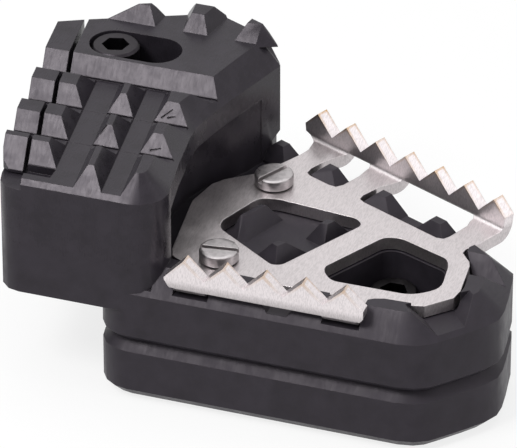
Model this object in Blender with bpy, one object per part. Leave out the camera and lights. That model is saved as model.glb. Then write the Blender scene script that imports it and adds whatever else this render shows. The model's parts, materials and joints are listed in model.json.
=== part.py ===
# Brake pedal extension: a stepped foot block in one piece with a platform, a lower plate
# clamped under it, and a bent steel tooth plate screwed on top.
# Everything is drawn in millimetres and made into metres at the end.
# x runs right along the front face, y runs back, z runs up.
# The drawing heights are counted from the lower edge of the front face; the underside lies
# UNDERSIDE below it and becomes z = 0 in the finished part.

import math

import bmesh
import bpy
from mathutils import Matrix, Vector
from mathutils.geometry import delaunay_2d_cdt

for old in list(bpy.data.objects):
    bpy.data.objects.remove(old, do_unlink=True)

# Driving dimensions, millimetres
MM = 0.001
CENTRE_X = 36.0                # drawing x of the part's own origin
CENTRE_Y = 33.0                # drawing y of the part's own origin
UNDERSIDE = 1.45
SEAT_GAP = 0.25                # between two pieces that bear on each other
HOLE_GAP = 0.3                 # round a shank, on the radius
TURN = math.radians(-24.7)     # direction of the platform's back edge

PLATE_THICK = 2.7              # steel sheet
SEAM = 12.1                    # top of the lower plate
LOWER_CHAMFER = 2.5
SEAM_CHAMFER = 2.1
PLATFORM_CHAMFER = 1.4
PLATFORM_EDGE = 23.7           # where the platform's top chamfer starts
FLOOR = 24.65                  # groove floor of the platform
PLATFORM_TOP = 28.5            # tooth tops of the platform
RING_INSET = PLATFORM_TOP - PLATFORM_EDGE
BACK_INSET = 1.1               # the back edge is nearly upright

WING = 19.45                   # underside of the overhanging block
BLOCK_EDGE = 44.6              # where the block's top chamfer starts
STEP_TOP = 49.2                # tooth tops and bar top
ROW_FLOOR = 46.0               # floors of the V grooves that run across
COLUMN_FLOOR = 45.6            # floors of the grooves that run back
LAST_ROW_RISE = 3.2             # how far the last row stands above the rest
UPPER_TOP = STEP_TOP + LAST_ROW_RISE
LEDGE = 43.35                  # ledge under the side tooth block
LEAN = -0.131                  # the columns lean left going back, mm per mm
SLIT_BODY = -18.6              # body side of the slit at y = 0
SLIT_BLOCK = -19.5             # side block's edge at y = 0
LEFT_EDGE = -24.3              # left side of the block at y = 0
LEFT_LEAN = -0.14              # and how it leans, mm per mm
ROW_GROOVES = [(12.0, 20.6), (24.6, 33.2), (37.3, 45.5)]   # their widths at the top
ROW_RUN = STEP_TOP - ROW_FLOOR
COLUMN_GROOVES = [(-12.58, -7.68), (-1.68, 2.32)]          # floor widths at y = 0
COLUMN_RUN = 2.4               # each flank's run across
BAR_FRONT = 45.5

UNDERCUT_TOP = 39.7
POCKET_FLOOR = 15.2

SLOT_X0, SLOT_X1 = -23.15, -3.45
SLOT_Y = 51.7
CAP_HEAD_D = 10.0
CAP_HEAD_H = 6.0
CAP_SHANK_D = 6.0
CAP_HEX = 5.0
SLOT_SIDE_GAP = 0.2
SLOT_FLOOR = 42.75
NUT_ACROSS = 10.0
NUT_H = 5.0
NUT_TOP = 37.7

SHEET_SCREW_D = 4.0
SHEET_HEAD_D = 8.0
SHEET_HEAD_H = 2.4
SHEET_SCREW_LOW = 18.4         # lower end of the shanks
SHEET_SCREWS = {"front": (18.7, 12.5, 8.0), "back": (19.5, 43.7, 62.0)}

CLAMP_HEAD_H = 5.6
CLAMP_SINK = 6.4
CLAMP_LOW_SCREWS = {"front_left": (3.5, 12.0), "front_right": (37.0, 10.0), "back_right": (49.3, 36.2)}
CLAMP_POCKET_SCREW = (52.0, 23.0)
CLAMP_REACH = 21.0
DOWEL_D = 4.0
DOWELS = {"left": (1.5, 40.0), "right": (68.5, 22.0)}
DOWEL_LOW, DOWEL_HIGH = 6.0, 18.0
SIDE_PIN_D = 3.0
SIDE_PINS = {"front": 19.0, "back": 50.0}
SIDE_PIN_LOW, SIDE_PIN_HIGH = 38.0, 45.0

RECESS_X0, RECESS_X1 = 10.0, 40.0
RECESS_Y = 20.0
RECESS_DEPTH = 4.0

SHEET_LOW = FLOOR + SEAT_GAP
SHEET_TOP = SHEET_LOW + PLATE_THICK
BEND_INNER = 0.9
BEND_OUTER = BEND_INNER + PLATE_THICK
TIP = SHEET_LOW + 8.9
VALLEY = SHEET_LOW + 4.8
FRONT_TIPS = [15.7, 24.04, 32.3, 40.5, 48.95]
BACK_TIPS = [-6.1, 1.95, 10.1, 18.35, 26.5, 34.55, 42.6]
BACK_FACE = 66.6               # front face of the back bar, measured along the turned frame
BAR_LOW = SHEET_LOW + 1.9      # where the gaps behind the bars end, in the bends

# Outline of the platform and of the lower plate, right half first, then the back and left
PLATFORM = [
    (3.3, 0.0), (60.0, 0.0), (63.7, 0.7), (66.4, 2.2), (68.6, 4.6), (72.5, 9.2), (74.8, 12.2),
    (76.4, 15.4), (76.5, 18.6), (75.9, 23.1), (75.1, 27.6), (74.6, 30.6), (74.0, 32.6), (72.0, 34.2),
    (1.5, 66.7), (-3.7, 62.5), (-3.7, 7.0), (-3.17, 4.32), (-1.65, 2.05), (0.62, 0.53),
]
BACK_EDGE_INDEX = 13           # the long back edge runs from this corner to the next

# The block's outline below its chamfer, each with the matching corner at the top
BLOCK = [
    ((-19.5, 0.0), (-19.5, 4.8)), ((4.0, 0.0), (4.6, 4.8)), ((6.41, 0.48), (5.0, 4.9)),
    ((8.45, 1.85), (5.5, 5.3)), ((9.82, 3.9), (5.8, 5.9)), ((10.3, 6.3), (5.95, 6.8)),
    ((9.9, 9.0), (5.9, 9.0)), ((8.3, 18.0), (4.5, 18.0)), ((7.0, 28.3), (3.2, 28.3)),
    ((6.9, 33.0), (2.9, 33.5)), ((7.9, 38.2), (4.0, 37.9)), ((9.8, 45.4), (5.9, 45.7)),
    ((12.0, 52.6), (7.6, 52.9)), ((14.0, 59.6), (9.5, 59.9)), ((14.6, 61.6), (10.2, 62.4)),
    ((14.0, 62.8), (10.6, 64.37)), ((-2.0, 70.2), (-2.0, 70.2)), ((-27.1, 58.8), (-27.1, 58.8)),
    ((-31.6, 56.3), (-31.6, 56.3)), ((-24.5, 5.0), (-24.5, 5.0)), ((-23.8, 2.4), (-23.8, 2.9)),
    ((-21.9, 0.55), (-21.9, 1.6)),
]

# Steel sheet: outline from the front left arm round to the back, then its openings
WINDOW_LEFT = [
    (14.2, 26.3), (18.4, 37.2), (22.0, 38.2), (39.8, 36.3), (41.6, 34.2), (31.2, 14.6), (29.2, 14.0),
    (15.0, 23.6),
]
WINDOW_RIGHT = [
    (40.1, 14.8), (39.5, 16.9), (47.2, 31.3), (50.4, 32.1), (61.6, 27.6), (62.7, 25.2), (63.9, 16.6),
    (59.2, 12.4), (42.3, 12.3),
]


# Drawing helpers

def turned(u, v):
    """A point of the turned frame, whose first direction follows the back edge."""
    return (u * math.cos(TURN) - v * math.sin(TURN), u * math.sin(TURN) + v * math.cos(TURN))


def body_from(bm):
    for vert in bm.verts:
        vert.co = [round(c, 4) for c in vert.co]
    bmesh.ops.triangulate(bm, faces=bm.faces)
    bmesh.ops.recalc_face_normals(bm, faces=bm.faces)
    mesh = bpy.data.meshes.new("shape")
    bm.to_mesh(mesh)
    bm.free()
    obj = bpy.data.objects.new("shape", mesh)
    bpy.context.scene.collection.objects.link(obj)
    return obj


def loft(loops):
    """A closed body through rings of equally many points, capped at both ends."""
    bm = bmesh.new()
    rings = [[bm.verts.new(p) for p in loop] for loop in loops]
    count = len(rings[0])
    for low, high in zip(rings, rings[1:]):
        for i in range(count):
            j = (i + 1) % count
            bm.faces.new((low[i], low[j], high[j], high[i]))
    bm.faces.new(list(reversed(rings[0])))
    bm.faces.new(rings[-1])
    return body_from(bm)


def prism(points, low, high):
    return loft([[(x, y, low) for x, y in points], [(x, y, high) for x, y in points]])


def hull(points):
    bm = bmesh.new()
    for p in points:
        bm.verts.new(p)
    bmesh.ops.convex_hull(bm, input=bm.verts)
    loose = [v for v in bm.verts if not v.link_faces]
    bmesh.ops.delete(bm, geom=loose, context="VERTS")
    return body_from(bm)


def post(x, y, radius, low, high, sides=32):
    points = [
        (x + radius * math.cos(2 * math.pi * i / sides), y + radius * math.sin(2 * math.pi * i / sides))
        for i in range(sides)
    ]
    return prism(points, low, high)


def turned_post(x, y, steps, sides=40):
    """A round body from (radius, height) steps, bottom first."""
    return loft([
        [
            (x + r * math.cos(2 * math.pi * i / sides), y + r * math.sin(2 * math.pi * i / sides), z)
            for i in range(sides)
        ]
        for r, z in steps
    ])


def hexagon(x, y, across, low, high, turn=0.0):
    r = across / math.sqrt(3)
    points = [
        (x + r * math.cos(turn + math.pi * i / 3), y + r * math.sin(turn + math.pi * i / 3))
        for i in range(6)
    ]
    return prism(points, low, high)


def obround(x0, x1, y, width, low, high, sides=16):
    r = width / 2
    points = []
    for i in range(sides + 1):
        a = -math.pi / 2 + math.pi * i / sides
        points.append((x1 - r + r * math.cos(a), y + r * math.sin(a)))
    for i in range(sides + 1):
        a = math.pi / 2 + math.pi * i / sides
        points.append((x0 + r + r * math.cos(a), y + r * math.sin(a)))
    return prism(points, low, high)


def combine(target, tool, operation):
    mod = target.modifiers.new("shape", "BOOLEAN")
    mod.operation = operation
    mod.solver = "EXACT"
    mod.object = tool
    bpy.context.view_layer.update()
    graph = bpy.context.evaluated_depsgraph_get()
    mesh = bpy.data.meshes.new_from_object(target.evaluated_get(graph))
    target.modifiers.remove(mod)
    bm = bmesh.new()
    bm.from_mesh(mesh)
    bmesh.ops.triangulate(bm, faces=bm.faces)
    bm.to_mesh(mesh)
    bm.free()
    target.data = mesh
    bpy.data.objects.remove(tool, do_unlink=True)
    return target


def cut(target, *tools):
    for tool in tools:
        combine(target, tool, "DIFFERENCE")
    return target


def gather(tools):
    """Separate cutters made one object, so that one pass takes them all."""
    bm = bmesh.new()
    for tool in tools:
        bm.from_mesh(tool.data)
        bpy.data.objects.remove(tool, do_unlink=True)
    return body_from(bm)


def join(target, *tools):
    for tool in tools:
        combine(target, tool, "UNION")
    return target


def overlap(target, tool):
    return combine(target, tool, "INTERSECT")


def shrink(points, amounts):
    """Corners of an outline moved inwards; the list says how far each side moves."""
    count = len(points)
    result = []
    for i in range(count):
        before, here, after = points[i - 1], points[i], points[(i + 1) % count]
        a, b = amounts[i - 1], amounts[i]
        d1 = Vector((here[0] - before[0], here[1] - before[1])).normalized()
        d2 = Vector((after[0] - here[0], after[1] - here[1])).normalized()
        n1, n2 = Vector((-d1.y, d1.x)), Vector((-d2.y, d2.x))
        det = n1.x * n2.y - n1.y * n2.x
        if abs(det) < 1e-3:
            move = n1 * ((a + b) / 2)
        else:
            move = Vector(((a * n2.y - b * n1.y) / det, (b * n1.x - a * n2.x) / det))
        result.append((here[0] + move.x, here[1] + move.y))
    return result


def soften(points, radius, steps=4):
    """Corners of an outline rounded with short arcs."""
    count = len(points)
    result = []
    for i in range(count):
        here = Vector(points[i])
        before, after = Vector(points[i - 1]), Vector(points[(i + 1) % count])
        reach = min(radius, (before - here).length * 0.45, (after - here).length * 0.45)
        start = here + (before - here).normalized() * reach
        end = here + (after - here).normalized() * reach
        for k in range(steps + 1):
            t = k / steps
            p = start * (1 - t) ** 2 + here * 2 * t * (1 - t) + end * t ** 2
            result.append((p.x, p.y))
    return result


def groove(p, q, width, low, high):
    """A groove cutter with a flat floor and 45 degree flanks, from p to q."""
    d = Vector((q[0] - p[0], q[1] - p[1])).normalized()
    n = Vector((-d.y, d.x))
    points = []
    for x, y in (p, q):
        for z, half in ((low, width / 2), (high, width / 2 + high - low)):
            for s in (-1, 1):
                points.append((x + s * half * n.x, y + s * half * n.y, z))
    return hull(points)


def tooth(foot, top, low, high):
    return hull([(x, y, low) for x, y in foot] + [(x, y, high) for x, y in top])


def finish(obj, name, colour, metallic, roughness):
    mesh = obj.data
    mesh.transform(Matrix.Translation((-CENTRE_X, -CENTRE_Y, UNDERSIDE)))
    mesh.transform(Matrix.Scale(MM, 4))
    material = bpy.data.materials.new(name + "_finish")
    material.use_nodes = True
    shader = material.node_tree.nodes["Principled BSDF"]
    shader.inputs["Base Color"].default_value = (*colour, 1.0)
    shader.inputs["Metallic"].default_value = metallic
    shader.inputs["Roughness"].default_value = roughness
    mesh.materials.clear()
    mesh.materials.append(material)
    for face in mesh.polygons:
        face.material_index = 0
    obj.name = name
    mesh.name = name
    return obj


ANODISED = (0.022, 0.021, 0.025)
STEEL = (0.58, 0.56, 0.55)
DARK_STEEL = (0.05, 0.048, 0.05)


# The platform: a chamfered plate whose rim is later cut into teeth

def even(amount, back=None):
    amounts = [amount] * len(PLATFORM)
    if back is not None:
        amounts[BACK_EDGE_INDEX] = back
    return amounts


def ring(points, z):
    return [(x, y, z) for x, y in points]


body_low = SEAM + SEAT_GAP
body = loft([
    ring(shrink(PLATFORM, even(PLATFORM_CHAMFER)), body_low),
    ring(PLATFORM, body_low + PLATFORM_CHAMFER),
    ring(PLATFORM, PLATFORM_EDGE),
    ring(shrink(PLATFORM, even(RING_INSET, BACK_INSET)), PLATFORM_TOP),
])

over = PLATFORM_TOP + 1.0
CLEARING = [
    (-2.0, 9.0), (12.9, 8.0), (12.9, 7.2), (51.6, 6.4), (53.0, 7.45), (54.9, 8.1), (60.2, 8.3),
    (63.0, 8.95), (68.2, 13.9),
    (68.5, 17.2), (67.4, 26.8), (64.9, 30.6), (64.9, 32.0), (68.0, 37.0), turned(44.0, 70.0),
    turned(-30.0, 75.0), (-10.0, 60.0), (-10.0, 9.0),
]
cut(body, prism(CLEARING, FLOOR, over))
# Flat grooves under the two front arms of the sheet, and the notch between the front teeth
cut(body, prism([(12.9, -1.0), (20.25, -1.0), (20.25, 9.0), (12.9, 9.0)], FLOOR, over))
cut(body, prism([(44.1, -1.0), (51.9, -1.0), (51.9, 9.0), (44.1, 9.0)], FLOOR, over))
cut(body, groove((34.8, -1.0), (34.8, 9.0), 4.2, FLOOR, over))
# Groove beside the block, and the two grooves of the right rim
cut(body, prism([(-6.0, -1.0), (8.4, -1.0), (8.4, 9.5), (-6.0, 9.5)], FLOOR, over))
cut(body, groove((64.6, 12.0), (71.5, 4.0), 6.2, FLOOR, over))
cut(body, groove((64.0, 26.4), (79.0, 25.8), 0.5, FLOOR, over))

# Teeth along the platform's back edge, standing between the arms of the sheet
BACK_TEETH = [(-15.0, -10.5, -8.2, -5.4), (2.0, 3.3, 5.6, 9.5), (16.4, 18.2, 20.5, 24.6), (28.9, 32.8, 35.6, 38.5)]
for foot_l, top_l, top_r, foot_r in BACK_TEETH:
    rise = PLATFORM_TOP - FLOOR
    shoulder_l = min(top_l - foot_l, rise)
    shoulder_r = min(foot_r - top_r, rise)
    points = [(*turned(u, v), PLATFORM_TOP) for u in (top_l, top_r) for v in (58.5, 60.4)]
    points += [(*turned(top_l - shoulder_l, v), PLATFORM_TOP - shoulder_l) for v in (56.0, 61.2)]
    points += [(*turned(top_r + shoulder_r, v), PLATFORM_TOP - shoulder_r) for v in (56.0, 61.2)]
    points += [(*turned(top_l - shoulder_l, v), FLOOR - 0.5) for v in (56.0, 61.2)]
    points += [(*turned(top_r + shoulder_r, v), FLOOR - 0.5) for v in (56.0, 61.2)]
    join(body, hull(points))

# Teeth that stand up inside the sheet's left window
join(body, tooth(
    [(23.2, 19.9), (26.6, 25.4), (33.6, 25.2), (29.4, 15.9)],
    [(27.2, 20.4), (28.1, 21.5), (29.7, 21.5), (28.5, 19.6)], FLOOR - 0.3, PLATFORM_TOP))
join(body, tooth(
    [(30.8, 29.9), (33.4, 35.6), (38.8, 35.4), (35.6, 27.6)],
    [(33.9, 30.8), (34.6, 32.6), (36.3, 32.6), (35.4, 30.8)], FLOOR - 0.3, PLATFORM_TOP))
join(body, tooth(
    [(16.0, 25.4), (16.9, 31.0), (19.0, 36.0), (24.6, 35.4), (20.2, 24.4), (18.4, 23.6)],
    [(17.6, 28.3), (18.5, 28.3), (21.3, 33.7), (20.0, 33.7)], FLOOR - 0.3, PLATFORM_TOP))

# The stepped block, one piece with the platform
block = loft([
    ring([low for low, top in BLOCK], WING),
    ring([low for low, top in BLOCK], BLOCK_EDGE),
    ring([top for low, top in BLOCK], STEP_TOP),
])

# Last row of teeth, one level higher than the rest
BLOCK_PLAN = [low for low, top in BLOCK]
ROW_0 = [
    ([(-26.0, 60.2), (-11.9, 60.2), (-11.2, 69.0), (-26.0, 69.0)],
     [(-18.4, 63.4), (-14.4, 63.4), (-14.8, 68.0), (-19.0, 68.0)]),
    ([(-6.6, 60.2), (-0.6, 60.2), (1.0, 70.0), (-8.6, 70.0)],
     [(-5.3, 63.4), (-2.6, 63.4), (-1.8, 67.4), (-5.8, 67.4)]),
    ([(4.5, 60.2), (9.5, 60.2), (13.9, 62.2), (13.0, 64.0), (5.2, 68.0)],
     [(6.9, 63.4), (9.9, 63.4), (10.0, 63.9), (7.2, 65.2)]),
]
for foot, top in ROW_0:
    piece = tooth(foot, top, STEP_TOP - 0.6, UPPER_TOP)
    overlap(piece, prism(shrink(BLOCK_PLAN, [0.05] * len(BLOCK_PLAN)), BLOCK_EDGE, UPPER_TOP + 2.0))
    join(block, piece)

high = STEP_TOP + 0.6


def lean(x, y):
    return x + LEAN * y


def side_left(y):
    return LEFT_EDGE + LEFT_LEAN * y


def row_cutters(x0, x1):
    cutters = []
    for front, back in ROW_GROOVES:
        run = ROW_RUN + high - STEP_TOP
        points = []
        for x in (x0, x1):
            points += [(x, front + ROW_RUN, ROW_FLOOR), (x, back - ROW_RUN, ROW_FLOOR)]
            points += [(x, front + ROW_RUN - run, high), (x, back - ROW_RUN + run, high)]
        cutters.append(hull(points))
    return cutters


cut(block, *row_cutters(-40.0, 20.0))
for left, right in COLUMN_GROOVES:
    depth = STEP_TOP - COLUMN_FLOOR
    side = COLUMN_RUN * (high - COLUMN_FLOOR) / depth
    points = []
    end_low = BAR_FRONT - depth - 0.05
    end_high = BAR_FRONT + high - STEP_TOP - 0.05
    for y, z, spread in (
        (-2.0, COLUMN_FLOOR, 0.0), (-2.0, high, side),
        (end_low, COLUMN_FLOOR, 0.0), (end_high, high, side),
    ):
        points += [(lean(left - spread, y), y, z), (lean(right + spread, y), y, z)]
    cut(block, hull(points))

# The second column starts further back, with a low wall and a pocket in front of it
front_x = -12.6
cut(block, hull([
    (x, y, z) for x in (-26.0, front_x) for y, z in (
        (-1.0, COLUMN_FLOOR), (6.6, COLUMN_FLOOR), (7.0, ROW_FLOOR), (-1.0, high),
        (7.0 + high - ROW_FLOOR, high),
    )
]))
cut(block, prism([(-22.0, 3.0), (-13.4, 3.0), (-13.4, 6.35), (-22.0, 6.35)], 43.9, high))

# The ledge that carries the side tooth block
cut(block, prism([
    (lean(SLIT_BODY, -2.0), -2.0), (lean(SLIT_BODY, 75.0), 75.0), (-45.0, 75.0), (-45.0, -2.0),
], LEDGE, UPPER_TOP + 3.0))

# Slot for the cap screw, its narrow part, and the nut's channel, open below
slot_width = CAP_HEAD_D + 2 * SLOT_SIDE_GAP
shank_inset = (slot_width - CAP_SHANK_D) / 2 - HOLE_GAP
cut(block, obround(SLOT_X0, SLOT_X1, SLOT_Y, slot_width, SLOT_FLOOR, high))
cut(block, obround(SLOT_X0 + shank_inset, SLOT_X1 - shank_inset, SLOT_Y,
                   CAP_SHANK_D + 2 * HOLE_GAP, WING - 1.0, SLOT_FLOOR + 1.0))
cut(block, prism([
    (SLOT_X0 - 1.3, SLOT_Y - NUT_ACROSS / 2 - HOLE_GAP),
    (SLOT_X1, SLOT_Y - NUT_ACROSS / 2 - HOLE_GAP),
    (SLOT_X1, SLOT_Y + NUT_ACROSS / 2 + HOLE_GAP),
    (SLOT_X0 - 1.3, SLOT_Y + NUT_ACROSS / 2 + HOLE_GAP),
], WING - 1.0, NUT_TOP + SEAT_GAP))

# Undercut of the block's right side, above the steel sheet
UNDERCUT = [
    (10.6, 8.6), (6.4, 9.4), (5.0, 13.0), (3.3, 22.0), (2.6, 30.5), (3.2, 36.5), (5.0, 41.6),
    (8.2, 46.0), (11.2, 51.0), (12.6, 55.2), (17.0, 55.0), (25.0, 50.0), (20.0, 10.0),
]
cut(block, prism(UNDERCUT, FLOOR, UNDERCUT_TOP))
# The pillar's outer corner is cut away at its foot
cut(block, hull([
    (14.0, 56.0, 28.0), (18.0, 56.0, 32.5), (18.0, 56.0, 20.0), (14.0, 56.0, 20.0),
    (13.0, 66.0, 28.0), (17.0, 68.0, 32.5), (17.0, 68.0, 20.0), (13.0, 66.0, 20.0),
]))
join(body, block)

# Deep pocket under the sheet's right window
pocket = soften(shrink(WINDOW_RIGHT[::-1], [0.5] * len(WINDOW_RIGHT)), 3.0)
cut(body, prism(pocket, POCKET_FLOOR, FLOOR + 0.5))

# Recess for the machine's own pedal, open at the back
recess = [
    (RECESS_X0, RECESS_Y), (RECESS_X1, RECESS_Y), (RECESS_X1, 80.0), (RECESS_X0, 80.0),
]
cut(body, prism(recess, body_low - 1.0, body_low + RECESS_DEPTH))

# Holes in the body
holes = []
for x, y, turn in SHEET_SCREWS.values():
    holes.append(post(x, y, SHEET_SCREW_D / 2 + HOLE_GAP, SHEET_SCREW_LOW - 0.8, FLOOR + 1.0, 24))
for x, y in CLAMP_LOW_SCREWS.values():
    holes.append(post(x, y, CAP_SHANK_D / 2 + HOLE_GAP, body_low - 1.0, CLAMP_REACH + 0.8, 24))
holes.append(post(*CLAMP_POCKET_SCREW, CAP_SHANK_D / 2 + HOLE_GAP, body_low - 1.0, POCKET_FLOOR + 1.0, 24))
for x, y in DOWELS.values():
    holes.append(post(x, y, DOWEL_D / 2 + HOLE_GAP, body_low - 1.0, DOWEL_HIGH + 0.8, 24))
side_pin_x = {}
for key, y in SIDE_PINS.items():
    side_pin_x[key] = (lean(SLIT_BLOCK, y) + side_left(y)) / 2
    holes.append(post(side_pin_x[key], y, SIDE_PIN_D / 2 + HOLE_GAP, SIDE_PIN_LOW - 0.8, LEDGE + 1.0, 20))
cut(body, gather(holes))
finish(body, "pedal_body", ANODISED, 0.85, 0.42)

# Side tooth block, a separate column that rests on the ledge
block_low = LEDGE + SEAT_GAP


side_plan = [
    (lean(SLIT_BLOCK, 5.6), 5.6), (lean(SLIT_BLOCK, 58.7), 58.7), (-32.1, 56.2),
    (side_left(48.0), 48.0), (side_left(8.6), 8.6), (side_left(8.6) + 0.7, 6.7), (side_left(8.6) + 2.2, 5.6),
]
side = prism(side_plan, block_low, STEP_TOP)
cut(side, hull([
    (x, y, z) for x in (-40.0, -10.0) for y, z in (
        (2.0, block_low + 0.55), (5.5, block_low + 0.55), (5.5 + 6.0, block_low + 6.55), (2.0, block_low + 6.55),
    )
]))
cut(side, *row_cutters(-50.0, -5.0))
for key, y in SIDE_PINS.items():
    cut(side, post(side_pin_x[key], y, SIDE_PIN_D / 2 + HOLE_GAP, block_low - 1.0, SIDE_PIN_HIGH + 0.6, 20))
finish(side, "side_tooth_block", ANODISED, 0.85, 0.42)

# Lower plate
lower = loft([
    ring(shrink(PLATFORM, even(LOWER_CHAMFER)), -UNDERSIDE),
    ring(PLATFORM, LOWER_CHAMFER - UNDERSIDE),
    ring(PLATFORM, SEAM - SEAM_CHAMFER),
    ring(shrink(PLATFORM, even(SEAM_CHAMFER)), SEAM),
])
cutters = [prism(recess, SEAM - RECESS_DEPTH, SEAM + 1.0)]
for x, y in CLAMP_LOW_SCREWS.values():
    wide, narrow = CAP_HEAD_D / 2 + HOLE_GAP, CAP_SHANK_D / 2 + HOLE_GAP
    step = CLAMP_SINK - UNDERSIDE
    cutters.append(turned_post(x, y, [
        (wide, -UNDERSIDE - 1.0), (wide, step), (narrow, step), (narrow, SEAM + 1.0)], 32))
cutters.append(post(*CLAMP_POCKET_SCREW, CAP_SHANK_D / 2 + HOLE_GAP, -UNDERSIDE - 1.0, SEAM + 1.0, 32))
for x, y in DOWELS.values():
    cutters.append(post(x, y, DOWEL_D / 2 + HOLE_GAP, DOWEL_LOW - 0.8, SEAM + 1.0, 24))
cut(lower, gather(cutters))
finish(lower, "lower_clamp_plate", ANODISED, 0.85, 0.42)

# Steel sheet with its two upturned toothed bars, drawn flat and then bent like the real one
BEND_MID = (BEND_INNER + BEND_OUTER) / 2
BEND_ARC = BEND_MID * math.pi / 2
BEND_CENTRE_Z = SHEET_LOW + BEND_OUTER
BACK_BEND = BACK_FACE + PLATE_THICK - BEND_OUTER


def flat_reach(z):
    """How far past the bend line a height on the finished bar lies in the flat sheet."""
    if z >= BEND_CENTRE_Z:
        return BEND_ARC + z - BEND_CENTRE_Z
    return BEND_MID * math.acos((BEND_CENTRE_Z - z) / BEND_OUTER)


def front_flat(x, z):
    return (x, BEND_OUTER - flat_reach(z))


def back_flat(u, z):
    return turned(u, BACK_BEND + flat_reach(z))


front_bar = [
    front_flat(13.3, BAR_LOW), front_flat(12.5, BAR_LOW), front_flat(11.5, BAR_LOW + 2.0),
    front_flat(11.5, BAR_LOW + 2.5),
]
for i, tip in enumerate(FRONT_TIPS):
    front_bar.append(front_flat(tip, TIP))
    if i + 1 < len(FRONT_TIPS):
        front_bar.append(front_flat((tip + FRONT_TIPS[i + 1]) / 2, VALLEY))
front_bar += [
    front_flat(53.1, VALLEY), front_flat(53.1, BAR_LOW + 1.2), front_flat(52.3, BAR_LOW),
    front_flat(51.5, BAR_LOW),
]

back_bar = [back_flat(45.3, BAR_LOW), back_flat(45.7, VALLEY + 1.0)]
for i in range(len(BACK_TIPS) - 1, -1, -1):
    back_bar.append(back_flat(BACK_TIPS[i], TIP))
    if i:
        back_bar.append(back_flat((BACK_TIPS[i] + BACK_TIPS[i - 1]) / 2, VALLEY))
back_bar += [back_flat(-9.6, VALLEY + 0.6), back_flat(-9.4, BAR_LOW + 1.6), back_flat(-8.0, BAR_LOW)]

SHEET_OUTLINE = (
    front_bar
    + [(51.5, 6.3), (52.8, 7.9), (54.8, 8.5), (60.1, 8.7), (62.8, 9.4), (67.3, 14.2), (67.8, 17.1),
       (66.7, 26.5), (66.2, 28.0), (63.9, 30.8), (64.1, 32.3), turned(45.3, 59.6), turned(45.2, 63.0)]
    + back_bar
    + [turned(-6.0, 65.2), turned(-4.8, 62.6), turned(-4.6, 61.0), (20.7, 56.0), (17.5, 50.2),
       (14.5, 46.0), (9.4, 41.9), (7.6, 39.3), (6.1, 32.0), (6.3, 29.8), (8.5, 13.3), (9.4, 10.8),
       (11.6, 9.5), (13.3, 8.3)])
SHEET_OPENINGS = [
    soften(WINDOW_LEFT, 3.4),
    soften(WINDOW_RIGHT, 2.6),
    [front_flat(19.9, BAR_LOW), front_flat(44.4, BAR_LOW), (44.4, 6.6), (44.0, 7.45), (20.3, 7.45), (19.9, 6.6)],
    [turned(1.4, 63.4), turned(0.9, 61.0), turned(0.8, 57.4), turned(1.4, 55.6), turned(2.6, 55.2),
     turned(7.6, 55.2), turned(9.4, 55.6), turned(10.0, 57.2), turned(10.0, 62.0), turned(9.6, 63.8),
     back_flat(8.8, BAR_LOW), back_flat(2.6, BAR_LOW)],
    [turned(16.6, 63.4), turned(15.9, 61.4), turned(15.7, 57.0), turned(16.2, 55.6), turned(17.6, 55.2),
     turned(37.4, 55.3), turned(38.8, 56.0), turned(39.1, 57.6), turned(38.9, 63.0), turned(38.2, 64.4),
     back_flat(37.4, BAR_LOW), back_flat(17.9, BAR_LOW)],
]
for x, y, degrees in SHEET_SCREWS.values():
    hole = []
    for i in range(24):
        a = 2 * math.pi * i / 24
        r = SHEET_SCREW_D / 2 + HOLE_GAP
        hole.append((x + r * math.cos(a), y + r * math.sin(a)))
    SHEET_OPENINGS.append(hole)


def inside(x, y, loop):
    """Whether a point of the plan lies within a closed loop."""
    found = False
    for i in range(len(loop)):
        (x1, y1), (x2, y2) = loop[i - 1], loop[i]
        if (y1 > y) != (y2 > y) and x < x1 + (x2 - x1) * (y - y1) / (y2 - y1):
            found = not found
    return found


# The flat sheet is split along its bend lines, so that it can fold there
BEND_STEPS = 6
back_way = Vector((-math.sin(TURN), math.cos(TURN), 0.0))
side_way = Vector((math.cos(TURN), math.sin(TURN), 0.0))
spots, borders = [], []
for loop in [SHEET_OUTLINE] + SHEET_OPENINGS:
    first = len(spots)
    for i, spot in enumerate(loop):
        spots.append(Vector(spot[:2]))
        borders.append((first + i, first + (i + 1) % len(loop)))
for i in range(BEND_STEPS + 1):
    step = BEND_ARC * i / BEND_STEPS
    spots += [Vector((-20.0, BEND_OUTER - step)), Vector((90.0, BEND_OUTER - step))]
    spots += [Vector(turned(-40.0, BACK_BEND + step)), Vector(turned(90.0, BACK_BEND + step))]
    borders += [(len(spots) - 4, len(spots) - 3), (len(spots) - 2, len(spots) - 1)]
spots, borders, patches = delaunay_2d_cdt(spots, borders, [], 0, 0.004)[:3]

bm = bmesh.new()
under = [bm.verts.new((spot.x, spot.y, SHEET_LOW)) for spot in spots]
over = [bm.verts.new((spot.x, spot.y, SHEET_TOP)) for spot in spots]
rims = set()
for patch in patches:
    x = sum(spots[i].x for i in patch) / 3
    y = sum(spots[i].y for i in patch) / 3
    if not inside(x, y, SHEET_OUTLINE) or any(inside(x, y, loop) for loop in SHEET_OPENINGS):
        continue
    bm.faces.new([over[i] for i in patch])
    bm.faces.new([under[i] for i in reversed(patch)])
    for i in range(3):
        a, b = patch[i - 1], patch[i]
        if (b, a) in rims:
            rims.remove((b, a))
        else:
            rims.add((a, b))
for a, b in sorted(rims):
    bm.faces.new((over[b], over[a], under[a], under[b]))
for vert in [vert for vert in bm.verts if not vert.link_faces]:
    bm.verts.remove(vert)


def bent(reach, z):
    """Flat reach past the bend line and height, turned into (reach, height) on the bent sheet."""
    radius = BEND_OUTER - (z - SHEET_LOW)
    if reach < BEND_ARC:
        angle = reach / BEND_MID
        return radius * math.sin(angle), BEND_CENTRE_Z - radius * math.cos(angle)
    return radius, BEND_CENTRE_Z + reach - BEND_ARC


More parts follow.
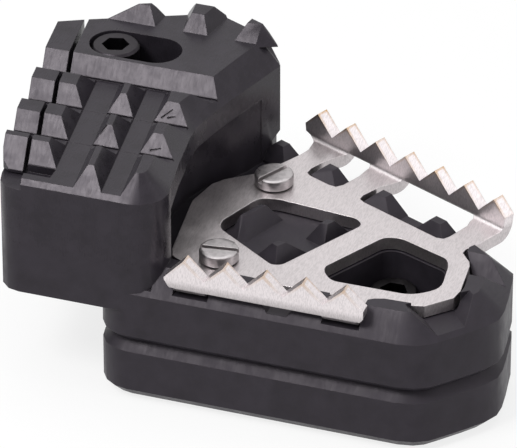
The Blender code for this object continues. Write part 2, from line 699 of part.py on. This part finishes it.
for vert in bm.verts:
    x, y, z = vert.co
    u, v = vert.co.dot(side_way), vert.co.dot(back_way)
    if y < BEND_OUTER:
        reach, z = bent(BEND_OUTER - y, z)
        vert.co = (x, BEND_OUTER - reach, z)
    elif v > BACK_BEND:
        reach, z = bent(v - BACK_BEND, z)
        x, y = turned(u, BACK_BEND + reach)
        vert.co = (x, y, z)
finish(body_from(bm), "tooth_plate", STEEL, 1.0, 0.3)

# Slotted screws that hold the sheet
for key, (x, y, degrees) in SHEET_SCREWS.items():
    base = SHEET_TOP + SEAT_GAP
    r = SHEET_HEAD_D / 2
    screw = turned_post(x, y, [
        (SHEET_SCREW_D / 2 - 0.3, SHEET_SCREW_LOW), (SHEET_SCREW_D / 2, SHEET_SCREW_LOW + 0.3),
        (SHEET_SCREW_D / 2, base), (r - 0.15, base), (r, base + 0.15), (r, base + SHEET_HEAD_H - 0.45),
        (r - 0.13, base + SHEET_HEAD_H - 0.18), (r - 0.5, base + SHEET_HEAD_H),
    ])
    a = math.radians(degrees)
    d, n = Vector((math.cos(a), math.sin(a))), Vector((-math.sin(a), math.cos(a)))
    corners = []
    for s, t in ((-1, -1), (1, -1), (1, 1), (-1, 1)):
        corners.append((x + s * 6.0 * d.x + t * 0.5 * n.x, y + s * 6.0 * d.y + t * 0.5 * n.y))
    cut(screw, prism(corners, base + SHEET_HEAD_H - 1.1, base + SHEET_HEAD_H + 1.0))
    finish(screw, "plate_screw_" + key, STEEL, 1.0, 0.25)


def cap_screw(x, y, seat, head_h, up, reach, hex_turn=0.0):
    """A socket cap screw whose head rises from the seat when up is 1, or hangs below it when -1."""
    r = CAP_HEAD_D / 2
    s = CAP_SHANK_D / 2
    steps = [
        (s - 0.5, reach), (s, reach + up * 0.5), (s, seat), (r - 0.3, seat), (r, seat + up * 0.3),
        (r, seat + up * (head_h - 0.5)), (r - 0.5, seat + up * head_h),
    ]
    screw = turned_post(x, y, steps)
    a, b = seat + up * (head_h - 3.0), seat + up * (head_h + 1.0)
    cut(screw, hexagon(x, y, CAP_HEX, min(a, b), max(a, b), hex_turn))
    return screw


slot_screw_x = SLOT_X0 + slot_width / 2 + 0.25
finish(cap_screw(slot_screw_x, SLOT_Y, SLOT_FLOOR + SEAT_GAP, CAP_HEAD_H, 1, 30.0, 0.3),
       "slot_cap_screw", DARK_STEEL, 0.9, 0.35)
nut_high = NUT_TOP
nut = prism([
    (slot_screw_x - 5.0, SLOT_Y - NUT_ACROSS / 2), (slot_screw_x + 5.0, SLOT_Y - NUT_ACROSS / 2),
    (slot_screw_x + 5.0, SLOT_Y + NUT_ACROSS / 2), (slot_screw_x - 5.0, SLOT_Y + NUT_ACROSS / 2),
], nut_high - NUT_H, nut_high)
cut(nut, post(slot_screw_x, SLOT_Y, CAP_SHANK_D / 2 + HOLE_GAP, nut_high - NUT_H - 1.0, nut_high + 1.0, 24))
finish(nut, "slot_nut", STEEL, 1.0, 0.4)

for key, (x, y) in CLAMP_LOW_SCREWS.items():
    finish(cap_screw(x, y, CLAMP_SINK - UNDERSIDE - SEAT_GAP, CLAMP_HEAD_H, -1, CLAMP_REACH),
           "clamp_screw_" + key, DARK_STEEL, 0.9, 0.35)
finish(cap_screw(*CLAMP_POCKET_SCREW, POCKET_FLOOR + SEAT_GAP, CLAMP_HEAD_H, 1, 0.6 - UNDERSIDE),
       "clamp_screw_pocket", DARK_STEEL, 0.9, 0.35)

for key, (x, y) in DOWELS.items():
    finish(turned_post(x, y, [
        (DOWEL_D / 2 - 0.3, DOWEL_LOW), (DOWEL_D / 2, DOWEL_LOW + 0.3),
        (DOWEL_D / 2, DOWEL_HIGH - 0.3), (DOWEL_D / 2 - 0.3, DOWEL_HIGH),
    ], 24), "dowel_" + key, STEEL, 1.0, 0.35)
for key, y in SIDE_PINS.items():
    finish(turned_post(side_pin_x[key], y, [
        (SIDE_PIN_D / 2 - 0.2, SIDE_PIN_LOW), (SIDE_PIN_D / 2, SIDE_PIN_LOW + 0.2),
        (SIDE_PIN_D / 2, SIDE_PIN_HIGH - 0.2), (SIDE_PIN_D / 2 - 0.2, SIDE_PIN_HIGH),
    ], 20), "side_pin_" + key, STEEL, 1.0, 0.35)
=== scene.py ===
# Looks for the brake pedal extension: camera, light, floor and the finish of every piece.
import bmesh
import bpy
import json
import math
from mathutils import Matrix, Vector


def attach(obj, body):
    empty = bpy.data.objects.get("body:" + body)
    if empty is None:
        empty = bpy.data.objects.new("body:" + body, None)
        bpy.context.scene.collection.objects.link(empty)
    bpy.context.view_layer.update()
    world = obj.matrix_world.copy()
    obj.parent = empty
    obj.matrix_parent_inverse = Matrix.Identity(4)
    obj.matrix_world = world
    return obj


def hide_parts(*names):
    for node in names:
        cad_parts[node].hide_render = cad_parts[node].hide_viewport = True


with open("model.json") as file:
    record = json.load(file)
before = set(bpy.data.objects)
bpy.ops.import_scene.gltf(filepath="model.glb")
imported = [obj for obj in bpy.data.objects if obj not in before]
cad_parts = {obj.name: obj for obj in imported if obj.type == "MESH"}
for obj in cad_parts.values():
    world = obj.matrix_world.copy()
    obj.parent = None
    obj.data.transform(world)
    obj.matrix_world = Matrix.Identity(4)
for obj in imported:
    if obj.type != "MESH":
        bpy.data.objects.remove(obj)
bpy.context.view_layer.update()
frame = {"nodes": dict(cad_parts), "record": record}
nodes = frame["nodes"]

# Camera at the photograph's angle
AZIMUTH = math.radians(19.3)
ELEVATION = math.radians(31.6)
CAMERA_PLACE = Vector((0.309112, -0.928741, 0.631001))
LENS = 396.9
SENSOR = 36.0

level_share = math.cos(ELEVATION)
back = Vector((
    math.sin(AZIMUTH) * level_share, -math.cos(AZIMUTH) * level_share, math.sin(ELEVATION),
))
right = Vector((math.cos(AZIMUTH), math.sin(AZIMUTH), 0.0))
up = back.cross(right)
camera_data = bpy.data.cameras.new("camera")
camera_data.lens = LENS
camera_data.sensor_width = SENSOR
camera_data.clip_start = 0.05
camera_data.clip_end = 20.0
camera = bpy.data.objects.new("camera", camera_data)
bpy.context.scene.collection.objects.link(camera)
turn = Matrix((right, up, back)).transposed().to_4x4()
camera.matrix_world = Matrix.Translation(CAMERA_PLACE) @ turn
bpy.context.scene.camera = camera

scene = bpy.context.scene
scene.view_settings.view_transform = "Standard"


# Node helpers

NOISE_RANGE = (0.3, 0.7)         # where nearly all values of a noise lie
BEVEL_SAMPLES = 6
OPEN_FACE = 0.995                # bevelled and true normal agree this well away from edges
COLOUR_A, COLOUR_B, COLOUR_OUT = 6, 7, 2     # sockets of a Mix node that are colours


def new_material(name):
    material = bpy.data.materials.new(name)
    material.use_nodes = True
    tree = material.node_tree
    shader = tree.nodes["Principled BSDF"]
    return material, tree, shader


def object_coordinates(tree, scale):
    coords = tree.nodes.new("ShaderNodeTexCoord")
    mapping = tree.nodes.new("ShaderNodeMapping")
    mapping.inputs["Scale"].default_value = scale
    tree.links.new(coords.outputs["Object"], mapping.inputs["Vector"])
    return mapping


def noise(tree, vector, scale, detail=3.0, roughness=0.5):
    node = tree.nodes.new("ShaderNodeTexNoise")
    node.inputs["Scale"].default_value = scale
    node.inputs["Detail"].default_value = detail
    node.inputs["Roughness"].default_value = roughness
    tree.links.new(vector.outputs["Vector"], node.inputs["Vector"])
    return node


def ramp(tree, source, stops):
    node = tree.nodes.new("ShaderNodeValToRGB")
    elements = node.color_ramp.elements
    elements[0].position, elements[0].color = stops[0][0], (*stops[0][1], 1.0)
    elements[1].position, elements[1].color = stops[-1][0], (*stops[-1][1], 1.0)
    for position, colour in stops[1:-1]:
        extra = elements.new(position)
        extra.color = (*colour, 1.0)
    tree.links.new(source.outputs["Fac"], node.inputs["Fac"])
    return node


def spread(tree, source, low, high):
    """A noise turned into numbers between low and high."""
    node = tree.nodes.new("ShaderNodeMapRange")
    node.inputs["To Min"].default_value = low
    node.inputs["To Max"].default_value = high
    node.inputs["From Min"].default_value = NOISE_RANGE[0]
    node.inputs["From Max"].default_value = NOISE_RANGE[1]
    tree.links.new(source.outputs["Fac"], node.inputs["Value"])
    return node


def joined(tree, operation, first, second=None, value=None):
    """A Math node on one or two outputs, or on an output and a number."""
    node = tree.nodes.new("ShaderNodeMath")
    node.operation = operation
    node.use_clamp = True
    tree.links.new(first, node.inputs[0])
    if second is not None:
        tree.links.new(second, node.inputs[1])
    elif value is not None:
        node.inputs[1].default_value = value
    return node.outputs["Value"]


def edge_mask(tree, radius, sharpness):
    """1 along outer and inner edges, 0 on open faces."""
    bevel = tree.nodes.new("ShaderNodeBevel")
    bevel.samples = BEVEL_SAMPLES
    bevel.inputs["Radius"].default_value = radius
    here = tree.nodes.new("ShaderNodeNewGeometry")
    dot = tree.nodes.new("ShaderNodeVectorMath")
    dot.operation = "DOT_PRODUCT"
    tree.links.new(bevel.outputs["Normal"], dot.inputs[0])
    tree.links.new(here.outputs["Normal"], dot.inputs[1])
    node = tree.nodes.new("ShaderNodeMapRange")
    node.inputs["From Min"].default_value = OPEN_FACE
    node.inputs["From Max"].default_value = sharpness
    tree.links.new(dot.outputs["Value"], node.inputs["Value"])
    return node.outputs["Result"]


def mixed(tree, factor, first, second):
    """Colour first where the factor is 0, second where it is 1; either is an output or a colour."""
    node = tree.nodes.new("ShaderNodeMix")
    node.data_type = "RGBA"
    tree.links.new(factor, node.inputs["Factor"])
    for place, source in ((COLOUR_A, first), (COLOUR_B, second)):
        if isinstance(source, tuple):
            node.inputs[place].default_value = (*source, 1.0)
        else:
            tree.links.new(source, node.inputs[place])
    return node.outputs[COLOUR_OUT]


def mixed_grey(tree, source, level):
    """The colour times one grey level."""
    node = tree.nodes.new("ShaderNodeMix")
    node.data_type = "RGBA"
    node.blend_type = "MULTIPLY"
    node.inputs["Factor"].default_value = 1.0
    tree.links.new(source, node.inputs[COLOUR_A])
    node.inputs[COLOUR_B].default_value = (level, level, level, 1.0)
    return node.outputs[COLOUR_OUT]


def height_mask(tree, low, high):
    """0 below one height of the object and 1 above another, in metres."""
    coords = tree.nodes.new("ShaderNodeTexCoord")
    parts = tree.nodes.new("ShaderNodeSeparateXYZ")
    tree.links.new(coords.outputs["Object"], parts.inputs["Vector"])
    node = tree.nodes.new("ShaderNodeMapRange")
    node.inputs["From Min"].default_value = low
    node.inputs["From Max"].default_value = high
    tree.links.new(parts.outputs["Z"], node.inputs["Value"])
    return node.outputs["Result"]


def edge_and_bump(tree, shader, source, distance, strength, radius):
    """Softly rounded edges in the shading, with a fine surface grain on top."""
    bevel = tree.nodes.new("ShaderNodeBevel")
    bevel.samples = BEVEL_SAMPLES
    bevel.inputs["Radius"].default_value = radius
    bump = tree.nodes.new("ShaderNodeBump")
    bump.inputs["Strength"].default_value = strength
    bump.inputs["Distance"].default_value = distance
    tree.links.new(source.outputs["Fac"], bump.inputs["Height"])
    tree.links.new(bevel.outputs["Normal"], bump.inputs["Normal"])
    tree.links.new(bump.outputs["Normal"], shader.inputs["Normal"])


ROUNDED = 0.00018                # radius, in metres, to which edges are shaded round
GRAIN_STRENGTH = 0.10
PLATFORM_FINISH = (0.0325, 0.0285)     # heights between which the platform's duller finish begins
PLATFORM_DULLER = 0.17
BLACK_DARK = (0.0185, 0.0162, 0.0205)
BLACK_LIGHT = (0.0275, 0.0240, 0.0305)
RUBBED_METAL = (0.05, 0.044, 0.046)
RUBBED_WIDTH = 0.00022
BLACK_GRAIN = 0.00001


def anodised(name):
    """Satin black over milled metal: streaks of the cutter, cloudy sheen and rubbed edges."""
    material, tree, shader = new_material(name)
    streaks = noise(tree, object_coordinates(tree, (2400.0, 420.0, 420.0)), 1.0, 3.0, 0.6)
    clouds = noise(tree, object_coordinates(tree, (260.0, 260.0, 260.0)), 1.0, 4.0, 0.6)
    colour = ramp(tree, clouds, [(NOISE_RANGE[0], BLACK_DARK), (NOISE_RANGE[1], BLACK_LIGHT)])
    edges = edge_mask(tree, RUBBED_WIDTH, 0.85)
    rubbed = joined(tree, "MULTIPLY", edges, clouds.outputs["Fac"])
    worn = mixed(tree, rubbed, colour.outputs["Color"], RUBBED_METAL)
    tree.links.new(worn, shader.inputs["Base Color"])
    rough = spread(tree, streaks, 0.22, 0.31)
    cloudy = spread(tree, clouds, -0.05, 0.08)
    total = joined(tree, "ADD", rough.outputs["Result"], cloudy.outputs["Result"])
    low_down = height_mask(tree, *PLATFORM_FINISH)
    duller = joined(tree, "MULTIPLY", low_down, value=PLATFORM_DULLER)
    total = joined(tree, "ADD", total, duller)
    tree.links.new(total, shader.inputs["Roughness"])
    shader.inputs["Specular IOR Level"].default_value = 0.21
    shader.inputs["Specular Tint"].default_value = (1.0, 0.92, 0.99, 1.0)
    edge_and_bump(tree, shader, streaks, BLACK_GRAIN, GRAIN_STRENGTH, ROUNDED)
    return material


BARS = (0.0292, 0.0305)          # heights between which the flat sheet's darker colour ends: painted shade, the upturned bars above stay lighter
FLAT_PAINTED_SHADE = 0.73
TOOTH_TIPS = (0.0315, 0.0350)    # heights between which the burnt tint comes in
BURNT_TINT = (0.50, 0.31, 0.14)
BURNT_WIDTH = 0.0010
STEEL_SHADE = 0.8                # the dark brush lines of the plain steels, as a share
STEEL_GRAIN = 0.000008


def steel(name, base, shade, rough_low, rough_high, stretch, burnt_tips_and_shade=None):
    """Brushed steel; the tips of cut teeth are tinted by heat along their edges, and with them the
    flat sheet gets painted shade so the bars stand lighter.
    """
    material, tree, shader = new_material(name)
    lines = noise(tree, object_coordinates(tree, stretch), 1.0, 4.0, 0.6)
    patches = noise(tree, object_coordinates(tree, (140.0, 140.0, 140.0)), 1.0, 3.0, 0.5)
    dark_line = tuple(c * shade for c in base)
    colour = ramp(tree, lines, [(0.40, dark_line), (0.56, base)]).outputs["Color"]
    if burnt_tips_and_shade:
        # Painted shade: the flat sheet's colour is darkened below the upturned bars, so the bars
        # read as lit brighter
        bars_painted_lighter = height_mask(tree, *BARS)
        colour = mixed(tree, bars_painted_lighter, mixed_grey(tree, colour, FLAT_PAINTED_SHADE), colour)
        tips = height_mask(tree, *burnt_tips_and_shade)
        hot = joined(tree, "MULTIPLY", tips, edge_mask(tree, BURNT_WIDTH, 0.97))
        hot = joined(tree, "MULTIPLY", hot, spread(tree, patches, 0.3, 1.0).outputs["Result"])
        colour = mixed(tree, hot, colour, BURNT_TINT)
    tree.links.new(colour, shader.inputs["Base Color"])
    rough = spread(tree, lines, rough_low, rough_high)
    dull = spread(tree, patches, -0.03, 0.05)
    total = joined(tree, "ADD", rough.outputs["Result"], dull.outputs["Result"])
    tree.links.new(total, shader.inputs["Roughness"])
    shader.inputs["Metallic"].default_value = 1.0
    edge_and_bump(tree, shader, lines, STEEL_GRAIN, GRAIN_STRENGTH, ROUNDED)
    return material


black = anodised("black_anodised")
sheet = steel(
    "sheet_steel", (0.80, 0.745, 0.755), 0.82, 0.31, 0.42, (6500.0, 900.0, 1500.0), TOOTH_TIPS,
)
bright = steel(
    "bright_steel", (0.45, 0.425, 0.43), STEEL_SHADE, 0.28, 0.36, (900.0, 900.0, 4000.0),
)
dark = steel(
    "black_steel", (0.035, 0.031, 0.036), STEEL_SHADE, 0.30, 0.42, (1500.0, 1500.0, 1500.0),
)
# A darker copy of the black screw steel: painted shade of the pocket the screw sits in
pocket_painted_shade = steel(
    "black_steel_painted_shade", (0.012, 0.011, 0.012), STEEL_SHADE, 0.35, 0.45, (1500.0, 1500.0, 1500.0),
)

# Each node is shown by a copy whose rounded corners are shaded smooth: its finish and its slot
BLACK = (black, "black_anodised")
BRIGHT = (bright, "bright_screw")
DARK = (dark, "black_screw")
LOOKS = {
    "pedal_body": BLACK,
    "side_tooth_block": BLACK,
    "lower_clamp_plate": BLACK,
    "tooth_plate": (sheet, "sheet_steel"),
    "plate_screw_front": BRIGHT,
    "plate_screw_back": BRIGHT,
    "slot_nut": BRIGHT,
    "dowel_left": BRIGHT,
    "dowel_right": BRIGHT,
    "side_pin_front": BRIGHT,
    "side_pin_back": BRIGHT,
    "slot_cap_screw": DARK,
    "clamp_screw_front_left": DARK,
    "clamp_screw_front_right": DARK,
    "clamp_screw_back_right": DARK,
    # the screw in the pocket takes the darker copy: painted shade
    "clamp_screw_pocket": (pocket_painted_shade, "black_screw"),
}
SHARP = math.radians(32.0)       # edges that turn more than this stay sharp
WELD = 0.000002
FACE_WEIGHT = 90


# Fine cuts that the solid model leaves out, in millimetres of the object's own frame:
# a relief line along the foot of each row of teeth, and four small nicks in tooth faces
MM = 0.001
ROW_FEET = [-15.6, -3.0, 9.3]             # y where each row's front faces leave the groove floor
GROOVE_FLOOR = 47.45
RELIEF = (0.75, 0.08, 0.45)                # from and to ahead of the foot, and depth
RELIEF_RUN = (-90.0, -20.0)                # x, past both sides of the block
RELIEF_OPEN = 0.2                          # how far the cutter stands above the groove floor
NICKS = [
    ((-35.97, -2.42, 48.03), (-34.04, -0.9, 49.55)),
    ((-34.74, -2.26, 48.19), (-33.16, -1.89, 48.56)),
    ((-33.77, -15.07, 47.98), (-31.64, -14.5, 48.55)),
    ((-44.81, -14.0, 49.05), (-43.8, -12.5, 50.55)),
]
NICK_WIDTH = 0.38
NICK_DEPTH = 0.35
NICK_OPEN = 0.6                            # how far the cutter stands out of the tooth face
NICK_END = 0.35                            # width and depth at the far end, as a share
TOOTH_FACE = Vector((0.0, -1.0, 1.0)).normalized()


def add_hull(bm, points):
    """The convex body round the points, added to the mesh."""
    made = [bm.verts.new(p) for p in points]
    bmesh.ops.convex_hull(bm, input=made)


def fine_cuts():
    """All the fine cuts as one object of separate closed bodies, in millimetres."""
    bm = bmesh.new()
    ahead, behind, depth = RELIEF
    for foot in ROW_FEET:
        add_hull(bm, [
            (x, y, z) for x in RELIEF_RUN for y in (foot - ahead, foot - behind)
            for z in (GROOVE_FLOOR - depth, GROOVE_FLOOR + RELIEF_OPEN)
        ])
    for start, end in NICKS:
        start, end = Vector(start), Vector(end)
        side = TOOTH_FACE.cross(end - start).normalized() * NICK_WIDTH / 2
        corners = []
        for place, width in ((start, 1.0), (end, NICK_END)):
            for lift in (NICK_OPEN, -NICK_DEPTH * width):
                corners += [
                    place + side * width + TOOTH_FACE * lift,
                    place - side * width + TOOTH_FACE * lift,
                ]
        add_hull(bm, corners)
    bmesh.ops.recalc_face_normals(bm, faces=bm.faces)
    mesh = bpy.data.meshes.new("fine_cuts")
    bm.to_mesh(mesh)
    bm.free()
    obj = bpy.data.objects.new("fine_cuts", mesh)
    scene.collection.objects.link(obj)
    return obj


def scored(bm):
    """The body with the fine cuts taken out of it."""
    bmesh.ops.scale(bm, vec=(1 / MM,) * 3, verts=bm.verts)
    mesh = bpy.data.meshes.new("scored")
    bm.to_mesh(mesh)
    bm.free()
    obj = bpy.data.objects.new("scored", mesh)
    scene.collection.objects.link(obj)
    cutter = fine_cuts()
    cut = obj.modifiers.new("cut", "BOOLEAN")
    cut.operation = "DIFFERENCE"
    cut.solver = "EXACT"
    cut.object = cutter
    bpy.context.view_layer.update()
    graph = bpy.context.evaluated_depsgraph_get()
    result = bpy.data.meshes.new_from_object(obj.evaluated_get(graph))
    bpy.data.objects.remove(obj, do_unlink=True)
    bpy.data.objects.remove(cutter, do_unlink=True)
    after = bmesh.new()
    after.from_mesh(result)
    bmesh.ops.triangulate(after, faces=after.faces)
    bmesh.ops.scale(after, vec=(MM,) * 3, verts=after.verts)
    return after


def smooth_copy(node, name):
    """A copy of a CAD node with its fine cuts, and with all but its sharp edges shaded smooth."""
    welded = bmesh.new()
    welded.from_mesh(node.data)
    bmesh.ops.remove_doubles(welded, verts=welded.verts, dist=WELD)
    if node.name in ("pedal_body", "side_tooth_block"):
        welded = scored(welded)
    welded.verts.index_update()
    points = [vert.co.copy() for vert in welded.verts]
    faces = [[vert.index for vert in face.verts] for face in welded.faces]
    welded.free()
    mesh = bpy.data.meshes.new(name)
    mesh.from_pydata(points, [], faces)
    shaded = bmesh.new()
    shaded.from_mesh(mesh)
    for face in shaded.faces:
        face.smooth = True
    for edge in shaded.edges:
        edge.smooth = len(edge.link_faces) == 2 and edge.calc_face_angle(math.pi) < SHARP
    shaded.to_mesh(mesh)
    shaded.free()
    piece = bpy.data.objects.new(name, mesh)
    scene.collection.objects.link(piece)
    weights = piece.modifiers.new("weights", "WEIGHTED_NORMAL")
    weights.mode = "FACE_AREA"
    weights.weight = FACE_WEIGHT
    weights.keep_sharp = True
    bpy.context.view_layer.update()
    graph = bpy.context.evaluated_depsgraph_get()
    piece.data = bpy.data.meshes.new_from_object(piece.evaluated_get(graph))
    piece.modifiers.clear()
    return piece


for body, members in frame["record"]["behaviour"]["bodies"].items():
    for name in members:
        finish, slot = LOOKS[name]
        piece = smooth_copy(nodes[name], name + "_finished")
        piece.data.materials.clear()
        piece.data.materials.append(finish)
        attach(piece, body)
        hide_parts(name)
        for place in nodes[name].material_slots:
            place.material = finish

# Floor and light
FLOOR_HALF = 3.0
FLOOR_WHITE = 0.80               # share of the floor's colour that is plain white, not lit
LIT_WORLD, SEEN_WORLD = 0.45, 1.0
floor_mesh = bpy.data.meshes.new("floor")
floor_mesh.from_pydata([
    (-FLOOR_HALF, -FLOOR_HALF, 0.0), (FLOOR_HALF, -FLOOR_HALF, 0.0),
    (FLOOR_HALF, FLOOR_HALF, 0.0), (-FLOOR_HALF, FLOOR_HALF, 0.0),
], [], [(0, 1, 2, 3)])
floor = bpy.data.objects.new("floor", floor_mesh)
scene.collection.objects.link(floor)
pale, tree, shader = new_material("pale_floor")
shader.inputs["Base Color"].default_value = (0.9, 0.9, 0.9, 1.0)
shader.inputs["Roughness"].default_value = 0.9
shader.inputs["Specular IOR Level"].default_value = 0.0
output = tree.nodes["Material Output"]
glow = tree.nodes.new("ShaderNodeEmission")
glow.inputs["Color"].default_value = (1.0, 1.0, 1.0, 1.0)
mixer = tree.nodes.new("ShaderNodeMixShader")
mixer.inputs["Fac"].default_value = FLOOR_WHITE
tree.links.new(shader.outputs["BSDF"], mixer.inputs[1])
tree.links.new(glow.outputs["Emission"], mixer.inputs[2])
tree.links.new(mixer.outputs["Shader"], output.inputs["Surface"])
floor_mesh.materials.append(pale)

world = bpy.data.worlds.new("studio")
scene.world = world
world.use_nodes = True
tree = world.node_tree
background = tree.nodes["Background"]
background.inputs["Color"].default_value = (1.0, 1.0, 1.0, 1.0)
paths = tree.nodes.new("ShaderNodeLightPath")
level = tree.nodes.new("ShaderNodeMapRange")
level.inputs["To Min"].default_value = LIT_WORLD
level.inputs["To Max"].default_value = SEEN_WORLD
seen = tree.nodes.new("ShaderNodeMath")
seen.operation = "MAXIMUM"
tree.links.new(paths.outputs["Is Camera Ray"], seen.inputs[0])
tree.links.new(paths.outputs["Is Glossy Ray"], seen.inputs[1])
tree.links.new(seen.outputs["Value"], level.inputs["Value"])
tree.links.new(level.outputs["Result"], background.inputs["Strength"])


def softbox(name, place, target, size, power):
    """A rectangular lamp turned towards its target."""
    data = bpy.data.lights.new(name, "AREA")
    data.shape = "RECTANGLE"
    data.size, data.size_y = size
    data.energy = power
    lamp = bpy.data.objects.new(name, data)
    scene.collection.objects.link(lamp)
    lamp.location = place
    away = Vector(place) - Vector(target)
    lamp.rotation_euler = away.to_track_quat("Z", "Y").to_euler()


softbox("key", (-0.296, -0.444, 0.694), (-0.06, -0.02, 0.05), (0.26, 0.26), 3.9)
softbox("side", (1.08, 0.11, 0.51), (0.0, 0.0, 0.02), (0.5, 0.7), 1.8)
softbox("fill", (-0.3, 0.2, 1.6), (0.0, 0.0, 0.0), (2.2, 2.2), 13.0)
